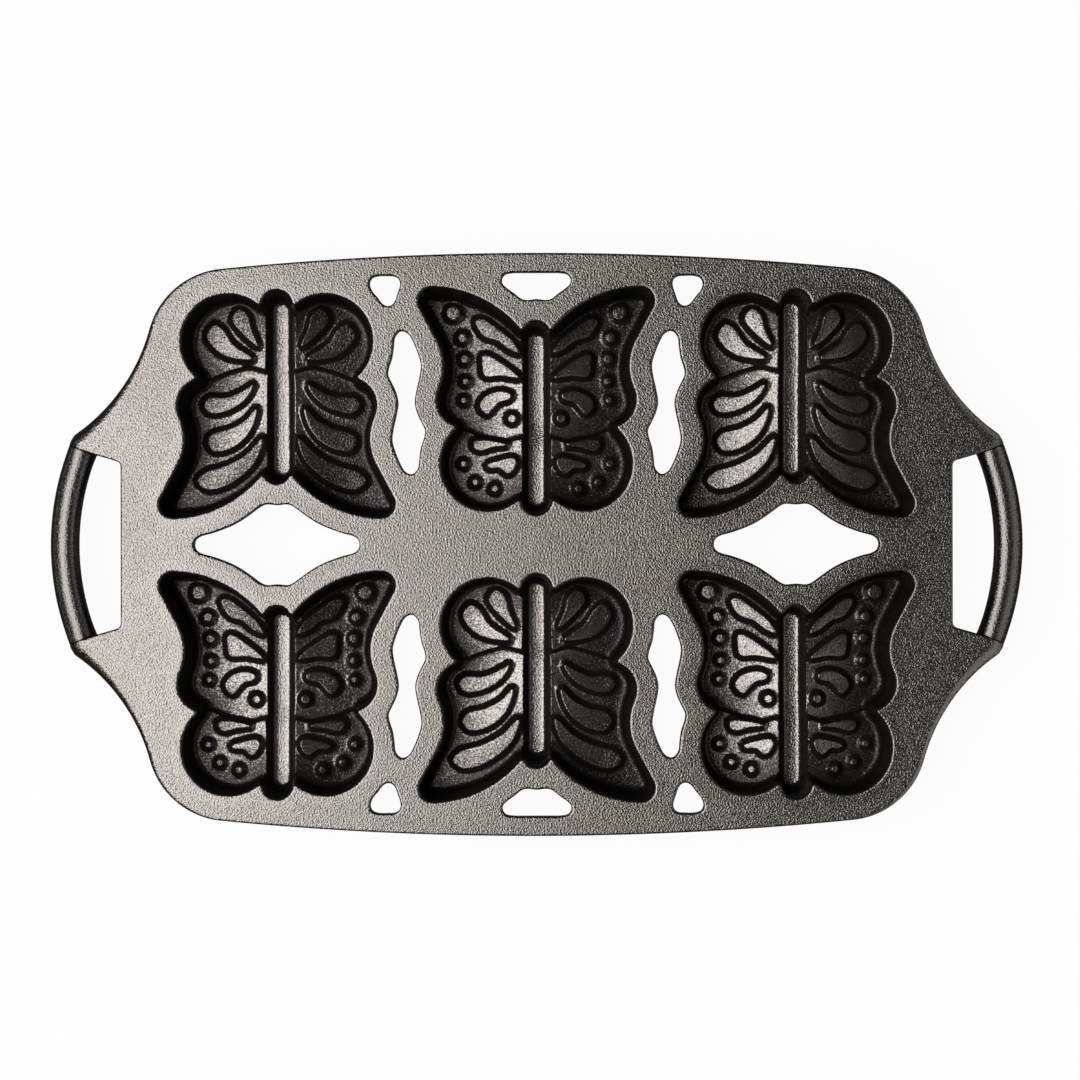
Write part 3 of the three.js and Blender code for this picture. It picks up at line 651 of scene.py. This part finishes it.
DOTTED_CELLS = [
    [(25.4, -34.3), (22.7, -34.9), (15.7, -30.2), (9.8, -25.2), (7.4, -20.8), (11.5, -22.2), (16.5, -26.0),
     (21.5, -27.7), (24.4, -31.0)],
    [(22.7, -19.5), (20.7, -19.8), (14.8, -16.4), (9.8, -12.7), (7.7, -10.3), (14.8, -11.2), (21.7, -11.4),
     (22.7, -16.0)],
    [(20.7, 4.7), (23.8, 1.5), (22.3, -1.8), (18.2, -4.1), (14.0, -4.5), (10.8, -3.1), (11.5, -1.4),
     (15.7, -0.2), (18.2, 2.3)],
    [(26.2, 16.5), (18.2, 16.3), (12.7, 17.8), (18.2, 18.6), (23.6, 20.0), (25.9, 19.0)],
    [(20.7, 26.3), (15.7, 24.4), (9.8, 23.4), (8.6, 24.8), (9.8, 28.2), (11.9, 29.8), (15.7, 27.3),
     (19.4, 27.3)],
]
DOTS = [
    (34.9, -37.7, 2.7), (31.1, -27.3, 1.7), (30.1, -18.3, 1.6), (29.9, -9.1, 1.2), (30.5, -1.1, 1.1),
    (10.3, 6.8, 1.6), (30.6, 25.7, 1.2), (25.7, 33.3, 1.2), (17.5, 36.1, 1.3),
]
CELL_SPACING = 0.75


def distance_to(points, loop):
    """Distance of points from a loop, less than nothing inside it."""
    way = np.roll(loop, -1, axis=0) - loop
    gap = points[:, None] - loop
    share = np.clip((gap * way).sum(2) / (way * way).sum(1), 0, 1)
    reach = np.linalg.norm(gap - share[..., None] * way, axis=2).min(1)
    return np.where(inside(points, [loop]), -reach, reach)


# The line on which the round wings step up, and the plan of the round wings, closed well outside the cup
DIVISION_SPACING = 0.8
NOTCH_ROOM = 0.5  # the line ends this far under the notch at the latest
PLAN_REACH = (-40.0, 60.0, 80.0)  # left, right and up
notch = meet(WING, SHOULDER, 0.0)
division_half = np.array(DIVISION + [notch])
division_corners = np.vstack([division_half, (division_half[1:] * [-1, 1])[::-1]])
division = smooth_loop(division_corners, DIVISION_SPACING)
division = division[(division[:, 0] >= 0) & (division[:, 1] > notch[1] - NOTCH_ROOM)]
division = division[np.argsort(division[:, 0])]
far_left, far_right, far_up = PLAN_REACH
round_wing_plan = np.vstack([
    [far_left, DIVISION[0][1]], division, [far_right, notch[1]], [far_right, far_up], [far_left, far_up],
])
rim_line = rim(0.0)


def floor_depth(points):
    """Depth of the bare wing floors below the deck: dished wings, with the round ones a step higher."""
    folded = np.c_[np.abs(points[:, 0]), points[:, 1]]
    climb = np.clip(1 - distance_to(folded, round_wing_plan) / STEP_RUN, 0, 1)
    out = np.clip(folded[:, 0] - TROUGH_HALF_WIDTH, 0, WING_DISH)
    droop = WING_DROOP * (out - out**2 / (2 * WING_DISH))
    rise, width = WALL_SWEEP
    sweep = rise * np.clip(1 + distance_to(points, rim_line) / width, 0, 1) ** 2
    return BESIDE_BODY_DEPTH + droop - sweep - ROUND_WING_STEP * climb**STEP_CURVE


def cell_rise(points, cells):
    """Height of the raised cells over the wing floors, and the distance from the nearest flat top."""
    folded = np.c_[np.abs(points[:, 0]), points[:, 1]]
    nearest = np.min([distance_to(folded, cell) for cell in cells], axis=0)
    rise, middle, fall, least = CELL_RISE
    height = np.maximum(rise + fall * (middle - folded[:, 0]), least)
    return height * np.interp(nearest, *zip(*CELL_SIDE)), nearest


def trough_distance(points):
    """Distance from the trough's middle line."""
    low, high = TROUGH_ENDS
    return np.hypot(points[:, 0], points[:, 1] - np.clip(points[:, 1], low, high))


def trough_depth(points):
    """Depth of the body trough: nearly flat across its bottom, then steep sides that go on upwards."""
    out = trough_distance(points)
    begin, bend, slope = TROUGH_SIDE
    rise, low, high = TROUGH_HEAD_RISE
    climb = np.clip((points[:, 1] - low) / (high - low), 0, 1)
    bottom = TROUGH_DEPTH - rise * climb**2 * (3 - 2 * climb)
    return bottom - slope * bend * np.logaddexp(0, (out - begin) / bend) - out**2 / (2 * TROUGH_DISH)


def cup_floor(points, cells):
    """Depth of the finished floor: wings, raised cells and the body trough, rounded where they meet."""
    wings = floor_depth(points) - cell_rise(points, cells)[0]
    trough = trough_depth(points)
    return (wings + trough + np.hypot(wings - trough, TROUGH_BRINK)) / 2


def stadium(distance, spacing):
    """A loop all at one distance from the trough's middle line."""
    low, high = TROUGH_ENDS
    count = max(6, round(math.pi * distance / spacing))
    straight = max(2, round((high - low) / spacing))
    right_side = np.c_[np.full(straight, distance), np.linspace(low, high, straight, endpoint=False)]
    top = arc((0, high), distance, 0, math.pi, 1, count)
    bottom = arc((0, low), distance, math.pi, 2 * math.pi, 1, count)
    return np.vstack([right_side, top, -right_side + [0, low + high], bottom])


# How finely a cup is divided. Room is the least distance that points keep from what is named.
LIP_STEPS = 7
WALL_RINGS = (0.33, 0.67)  # shares of the way down the wall
FILLET_STEPS = 10
FLOOR_GRID = (48, 1.15, 0.57)  # reach, spacing, and shift of every other row
GRID_ROOM = 0.75  # from the rows that follow the features
FOOT_ROOM = (0.3, 0.6)  # of the rows and of the grid, from the foot of the wall
TROUGH_REACH = TROUGH_HALF_WIDTH + 2.0  # the trough has its own rows as far as this
TROUGH_ROWS = np.r_[0.9, 1.7, np.arange(2.3, 4.4, 0.3), np.arange(4.6, TROUGH_REACH, 0.25)]
TROUGH_ROOM = 0.15  # from those rows
TROUGH_SPACING = 0.8
SPINE_POINTS = 80
ROW_SLIP = 0.06  # a point beside a cell is left out if another cell is nearer by more than this
STEP_ROWS = (0.5, 0.0, -0.35, -0.8, -1.4, -2.2)  # across the line between the wings
OUTER_FOOT = ((2.4, 3.5), (2.1, 1.0), (1.8, 0.3), (1.2, 0.0))  # offset from the rim and height
UNDER_GRID = (46, 4.0)  # reach and spacing
UNDER_ROOM = 0.5  # from the outer foot
KEEL_POINTS = 60


def cup_walls(cells):
    """Rings from the flange over the lip and down to the foot of the wall, each as its plan and its depth."""
    edge, outward = rim_line, rim_line - rim(-1.0)
    count = len(edge)
    run_down = np.full(count, 2.0)  # a first guess, which three rounds make good
    for _ in range(3):
        foot = edge - outward * (run_down + FLOOR_FILLET)[:, None]
        depth = floor_depth(foot)
        run_down = LIP / 2 + (depth - FLOOR_FILLET - LIP) / WALL_SLOPE
    rings = [(rim(CUP_FLANGE), np.zeros(count)), (edge + outward * (LIP / 2 + SUPPORT), np.zeros(count))]
    for bend in np.radians(np.linspace(0, 90, LIP_STEPS)):
        inset = -LIP / 2 + LIP * math.sin(bend)
        rings.append((edge - outward * inset, np.full(count, LIP * (1 - math.cos(bend)))))
    lip_rings = len(rings)
    for share in WALL_RINGS:
        inset = LIP / 2 + (run_down - LIP / 2) * share
        rings.append((edge - outward * inset[:, None], LIP + (depth - FLOOR_FILLET - LIP) * share))
    for bend in np.radians(np.linspace(0, 90, FILLET_STEPS)):
        inset = run_down + FLOOR_FILLET * (1 - math.cos(bend))
        place = edge - outward * inset[:, None]
        lift = cell_rise(place, cells)[0] * math.sin(bend)
        rings.append((place, depth - FLOOR_FILLET * (1 - math.sin(bend)) - lift))

    # At the head and the tail the wall runs straight down into the trough
    ends = trough_distance(foot) < TROUGH_HALF_WIDTH + TROUGH_BRINK
    centre = np.c_[np.zeros(count), np.clip(foot[:, 1], *TROUGH_ENDS)]
    way = np.where(ends[:, None], edge - centre, 1.0)
    brink = centre + way / np.linalg.norm(way, axis=1)[:, None] * TROUGH_HALF_WIDTH
    for number in range(lip_rings, len(rings)):
        share = (number - lip_rings + 1) / (len(rings) - lip_rings)
        flat, down = rings[number]
        straight = rings[lip_rings - 1][0] * (1 - share) + brink * share
        down_straight = LIP + (trough_depth(brink) - LIP) * share
        rings[number] = np.where(ends[:, None], straight, flat), np.where(ends, down_straight, down)
    return rings


def floor_points(cells, wall_foot):
    """Points that follow a floor's features: rows beside the cells, the trough and the step, and a grid."""
    sides = []
    for cell in cells:
        ways = left_normals(cell) * (-1 if signed_area(cell) > 0 else 1)
        for out, _ in CELL_SIDE:
            row = cell + ways * out
            nearest = cell_rise(row, cells)[1]
            sides.append(row[np.abs(nearest - out) < ROW_SLIP])
        sides.append(cell.mean(axis=0)[None])
    sides = np.vstack(sides)
    sides = np.vstack([sides, sides * [-1, 1]])
    sides = sides[trough_distance(sides) > TROUGH_REACH + TROUGH_ROOM]
    groove = np.vstack([stadium(row, TROUGH_SPACING) for row in TROUGH_ROWS])
    spine = np.c_[np.zeros(SPINE_POINTS), np.linspace(*TROUGH_ENDS, SPINE_POINTS)]
    across = left_normals(division)
    across[0] = across[1]
    across[-1] = across[-2]
    steps = np.vstack([division + across * out for out in STEP_ROWS])
    steps = np.vstack([steps, steps * [-1, 1]])
    steps = steps[trough_distance(steps) > TROUGH_REACH + TROUGH_ROOM]
    rows = np.vstack([sides, steps])
    reach, spacing, shift = FLOOR_GRID
    lines = np.arange(-reach, reach, spacing)
    grid = np.stack(np.meshgrid(lines, lines), -1).reshape(-1, 2)
    grid[:, 0] += np.where(np.round(grid[:, 1] / spacing) % 2 == 0, 0.0, shift)
    grid = grid[distance_to(grid, wall_foot) < -FOOT_ROOM[1]]
    grid = grid[trough_distance(grid) > TROUGH_REACH + TROUGH_ROOM]
    gaps = np.array([np.min(np.sum((rows - g) ** 2, axis=1)) for g in grid])
    grid = grid[gaps > GRID_ROOM**2]
    inner = np.vstack([rows, groove, spine])
    return np.vstack([inner[distance_to(inner, wall_foot) < -FOOT_ROOM[0]], grid])


def underside(flat):
    """Height of the iron's underside: hollows under the wings, and the flat keel between them."""
    x = np.abs(flat[:, 0])
    fall = WING_DROOP / 2 * (x - TROUGH_HALF_WIDTH)
    under = deck_top - BESIDE_BODY_DEPTH - FLOOR_THICKNESS - fall
    return np.maximum(under, 0.0) * np.clip((x - KEEL_HALF_WIDTH) / KEEL_DRAFT, 0, 1)


def underside_points(outer_foot):
    """Points under a cup, within its outer foot: rows along the edges of the keel, and a coarse grid."""
    reach, spacing = UNDER_GRID
    keel_line = np.linspace(-reach, reach, KEEL_POINTS)
    keel_edge = KEEL_HALF_WIDTH + KEEL_DRAFT
    keel_sides = (-keel_edge, -KEEL_HALF_WIDTH, KEEL_HALF_WIDTH, keel_edge)
    keel_rows = [np.c_[np.full(KEEL_POINTS, x), keel_line] for x in keel_sides]
    lines = np.arange(-reach, reach + 1, spacing)
    grid = np.stack(np.meshgrid(lines, lines), -1).reshape(-1, 2)
    grid = grid[np.abs(np.abs(grid[:, 0]) - KEEL_HALF_WIDTH - KEEL_DRAFT / 2) > KEEL_DRAFT]
    base = np.vstack(keel_rows + [grid])
    return base[distance_to(base, outer_foot) < -UNDER_ROOM]


def cup_mesh(cells):
    """Points and faces of a cup on its own axis, round wings up."""
    rings = cup_walls(cells)
    wall_foot = rings[-1][0]
    count = len(wall_foot)
    inner = floor_points(cells, wall_foot)
    points = np.vstack([np.c_[flat, deck_top - down] for flat, down in rings])
    faces = ring_faces(0, count, len(rings))
    foot = (len(rings) - 1) * count
    floor = np.vstack([wall_foot, inner])
    faces += [[foot + v for v in face] for face in fill(floor, [list(range(count))])]
    points = np.vstack([points, np.c_[inner, deck_top - cup_floor(inner, cells)]])

    # Outside: the seat in the deck, the outer wall, and the hollows on both sides of the keel
    outside = [(rim(CUP_FLANGE), np.full(count, deck_top - DECK_THICKNESS))]
    for offset, lift in OUTER_FOOT:
        flat = rim(offset)
        outside.append((flat, underside(flat) + lift))
    first = len(points)
    points = np.vstack([points] + [np.c_[flat, height] for flat, height in outside])
    for i in range(count):
        faces.append((i, (i + 1) % count, first + (i + 1) % count, first + i))
    faces += ring_faces(first, count, len(outside))
    base_edge = outside[-1][0]
    keep = not_doubled(base_edge)
    base = underside_points(base_edge[keep])
    edge_numbers = np.flatnonzero(keep) + first + (len(outside) - 1) * count
    numbers = list(edge_numbers) + list(range(len(points), len(points) + len(base)))
    flat = np.vstack([base_edge[keep], base])
    faces += [[numbers[v] for v in face] for face in fill(flat, [list(range(len(edge_numbers)))])]
    points = np.vstack([points, np.c_[base, underside(base)]])
    return points, faces


DOT_POINTS = 14
dots = [arc((x, y), radius, 0, 2 * math.pi - 1e-9, 1, DOT_POINTS) for x, y, radius in DOTS]
cells = {
    "plain": [smooth_loop(cell, CELL_SPACING) for cell in PLAIN_CELLS],
    "dotted": [smooth_loop(cell, CELL_SPACING) for cell in DOTTED_CELLS] + dots,
}
kinds = {kind: cup_mesh(shapes) for kind, shapes in cells.items()}
cup_iron = seasoned_iron(
    "seasoned_cast_iron_cup", film_and_shade="#827F7B", rust="#7C7773",
    roughness=0.2, grain_depth=0.22, metal_under_shade=0.7,
)
CORNER_SHADE = (0.95, 3.0, 35.0)  # painted shade that darkens the floor towards the walls: its most, how far in from the rim it is whole, and where it has died away
LIP_SHADE = (0.99, 0.1)  # upright share where painted shade on the lip begins, dimming its highlight, and the fall to where it is whole
GROOVE_SHADE = (0.8, 0.4)  # the same in the trough
UNSHADED_GROOVE = 4.4  # half width of the trough's bottom, which gets painted shade only where it is steep
UNSHADED_CELL_TOPS = {"left": 0.1, "middle": 0.2, "right": 0.4}  # share of painted shade taken off the raised cells, which paints them lighter; most in the right-hand cups
UNSHADED_CELL_FADE = 0.5  # width beside a cell's flat top over which this lightening ends


def corner_shade(cup):
    """Painted shade that darkens the floor of a cup towards its walls, as shade would."""
    x, y, kind = CUPS[cup]
    most, begin, end = CORNER_SHADE

    def shade_on_floor(place, upright, film_and_shade):
        flat = (place[:, :2] - [x, y]) * [1, 1 if kind == "plain" else -1]
        below = np.clip((deck_top - place[:, 2] - LIP) / LIP, 0, 1)
        spread = most * below * np.clip((end + distance_to(flat, rim_line)) / (end - begin), 0, 1)
        on_cell = np.clip(1 - cell_rise(flat, cells[kind])[1] / UNSHADED_CELL_FADE, 0, 1)
        spread = spread * (1 - UNSHADED_CELL_TOPS[cup.split("_")[-1]] * on_cell)
        lip = np.clip((LIP_SHADE[0] - upright) / LIP_SHADE[1], 0, 1)
        film_and_shade = np.where(deck_top - place[:, 2] < LIP, lip, film_and_shade)
        groove = np.clip((GROOVE_SHADE[0] - upright) / GROOVE_SHADE[1], 0, 1)
        return np.where(trough_distance(flat) < UNSHADED_GROOVE, groove, np.maximum(film_and_shade, spread))

    return shade_on_floor


for cup, (_, _, kind) in CUPS.items():
    points, faces = kinds[kind]
    turned = np.c_[placed(points[:, :2], cup), points[:, 2]]
    piece = make_piece(cup.replace("cup_", "butterfly_cup_"), turned, faces, cup_iron)
    # Painted shade on the cup's walls, lip and undersides, and over its floor towards the walls.
    paint_shade(piece, thin=0.95, full=0.8, by_place=corner_shade(cup))
    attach(piece, "root")
    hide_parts(cup)


# Grips: a round bar at each end, bowed outwards between two ears and cast in one with them. The bar lies
# a little lower than the deck, and a fine groove shows as a dark line across each root.
GRIP_DROP = 0.8
GRIP_STEPS = 72
ROOT_GROOVE = (0.5, 0.7)  # width and depth of the fine groove where the bar meets the ears
GRIP_LEAN = 0.11  # how much the bar's top slopes down to the outside
LEAN_RUN = 0.06  # angle from each root over which the lean grows
grip_iron = seasoned_iron(
    "seasoned_cast_iron_grip", film_and_shade="#716E6B", rust="#6D6965",
    roughness=0.26, grain_depth=0.16, metal_under_shade=0.9,
)
groove_end = GRIP_HALF_ANGLE - ROOT_GROOVE[0] / GRIP_ARC_RADIUS
grip_angles = np.r_[-GRIP_HALF_ANGLE, np.linspace(-groove_end, groove_end, GRIP_STEPS + 1), GRIP_HALF_ANGLE]
grip_dip = np.r_[ROOT_GROOVE[1], np.zeros(GRIP_STEPS + 1), ROOT_GROOVE[1]]
grip_line = GRIP_ARC_RADIUS * np.c_[np.cos(grip_angles), np.sin(grip_angles)] + grip_hub
grip_leans = GRIP_LEAN * np.clip((GRIP_HALF_ANGLE - np.abs(grip_angles)) / LEAN_RUN, 0, 1)
grip_top = deck_top - GRIP_DROP - grip_dip
grip_radii = np.full(len(grip_line), GRIP_RADIUS)
bar_points, bar_faces = tube(grip_line, grip_radii, grip_top, BAR_SIDES, leans=grip_leans)
for side, sign in (("left", -1), ("right", 1)):
    piece = make_piece(f"grip_bar_{side}", np.array(bar_points) * [sign, 1, 1], bar_faces, grip_iron)
    # Painted shade on the bar's steep flanks and underside.
    paint_shade(piece, thin=0.95, full=0.65)
    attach(piece, "root")
    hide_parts(f"grip_{side}")


# Floor: a plain sheet of white studio paper under the pan, matt and even. It shows white to the eye and
# in the iron's sheen, and keeps a faint shadow.
GLOW_SHARE = 0.95  # how much of that white is its own and not the lamps'
FLOOR_REACH = 60.0  # metres, so that its edge stays out of sight
floor_white = bpy.data.materials.new("white_studio_floor")
floor_white.use_nodes = True
floor_tree = floor_white.node_tree
floor_tree.nodes.clear()
rays = add_node(floor_tree, "ShaderNodeLightPath").outputs
seen = add_node(
    floor_tree, "ShaderNodeMath", {"operation": "MAXIMUM"},
    _0=rays["Is Camera Ray"], _1=rays["Is Glossy Ray"],
)
seen = add_node(
    floor_tree, "ShaderNodeMath", {"operation": "MAXIMUM"},
    _0=seen.outputs["Value"], _1=rays["Is Transmission Ray"],
)
share = add_node(
    floor_tree, "ShaderNodeMath", {"operation": "MULTIPLY"}, _0=seen.outputs["Value"], _1=GLOW_SHARE,
)
paper = add_node(floor_tree, "ShaderNodeBsdfDiffuse", None, Color=linear("#F2F2F2"))
glow = add_node(floor_tree, "ShaderNodeEmission", None, Color=linear("#FFFFFF"), Strength=1.0)
sweep = add_node(
    floor_tree, "ShaderNodeMixShader", None,
    Fac=share.outputs["Value"], _1=paper.outputs["BSDF"], _2=glow.outputs["Emission"],
)
add_node(floor_tree, "ShaderNodeOutputMaterial", None, Surface=sweep.outputs["Shader"])
floor_mesh = bpy.data.meshes.new("floor")
floor_corners = [(x * FLOOR_REACH, y * FLOOR_REACH, 0) for x, y in ((-1, -1), (1, -1), (1, 1), (-1, 1))]
floor_mesh.from_pydata(floor_corners, [], [(0, 1, 2, 3)])
floor_mesh.materials.append(floor_white)
floor = bpy.data.objects.new("floor", floor_mesh)
bpy.context.scene.collection.objects.link(floor)


# Light: one large softbox high on the left, a weak wide fill low on the right, and a dim room. Places and
# lengths are in metres. The camera hangs straight above the pan.
def softbox(name, place, aim, length, width, radiance):
    lamp = bpy.data.lights.new(name, "AREA")
    lamp.shape = "RECTANGLE"
    lamp.size, lamp.size_y = length, width
    lamp.energy = radiance * math.pi * width * length
    box = bpy.data.objects.new(name, lamp)
    box.location = place
    box.rotation_euler = (Vector(aim) - Vector(place)).to_track_quat("-Z", "Y").to_euler()
    bpy.context.scene.collection.objects.link(box)


softbox(
    "softbox_left", place=(-0.675, -0.06, 1.282), aim=(0.097, 0.003, 0.02),
    length=1.4, width=1.2, radiance=3.7,
)
softbox("fill_right", place=(1.15, -0.4, 0.6), aim=(0.0, 0.0, 0.02), length=2.4, width=1.0, radiance=0.6)

ROOM_LIGHT = 0.055
world = bpy.data.worlds.new("dim_room")
world.use_nodes = True
world.node_tree.nodes["Background"].inputs["Color"].default_value = linear("#FFFFFF")
world.node_tree.nodes["Background"].inputs["Strength"].default_value = ROOM_LIGHT
bpy.context.scene.world = world

CAMERA_HEIGHT = 0.9  # above the deck
FRAME_WIDTH = 0.444  # what the frame takes in at the deck
CAMERA_TURN = -0.0014  # the pan lies a hair askew in the frame
CAMERA_PLACE = (0.00136, 0.00181)  # and a little off its middle
SENSOR_WIDTH = 36.0
camera_data = bpy.data.cameras.new("camera")
camera_data.sensor_width = SENSOR_WIDTH
camera_data.lens = SENSOR_WIDTH * CAMERA_HEIGHT / FRAME_WIDTH
camera = bpy.data.objects.new("camera", camera_data)
camera.location = (*CAMERA_PLACE, deck_top * MM + CAMERA_HEIGHT)
camera.rotation_euler = (0.0, 0.0, CAMERA_TURN)
bpy.context.scene.collection.objects.link(camera)
bpy.context.scene.camera = camera
bpy.context.scene.view_settings.view_transform = "Standard"
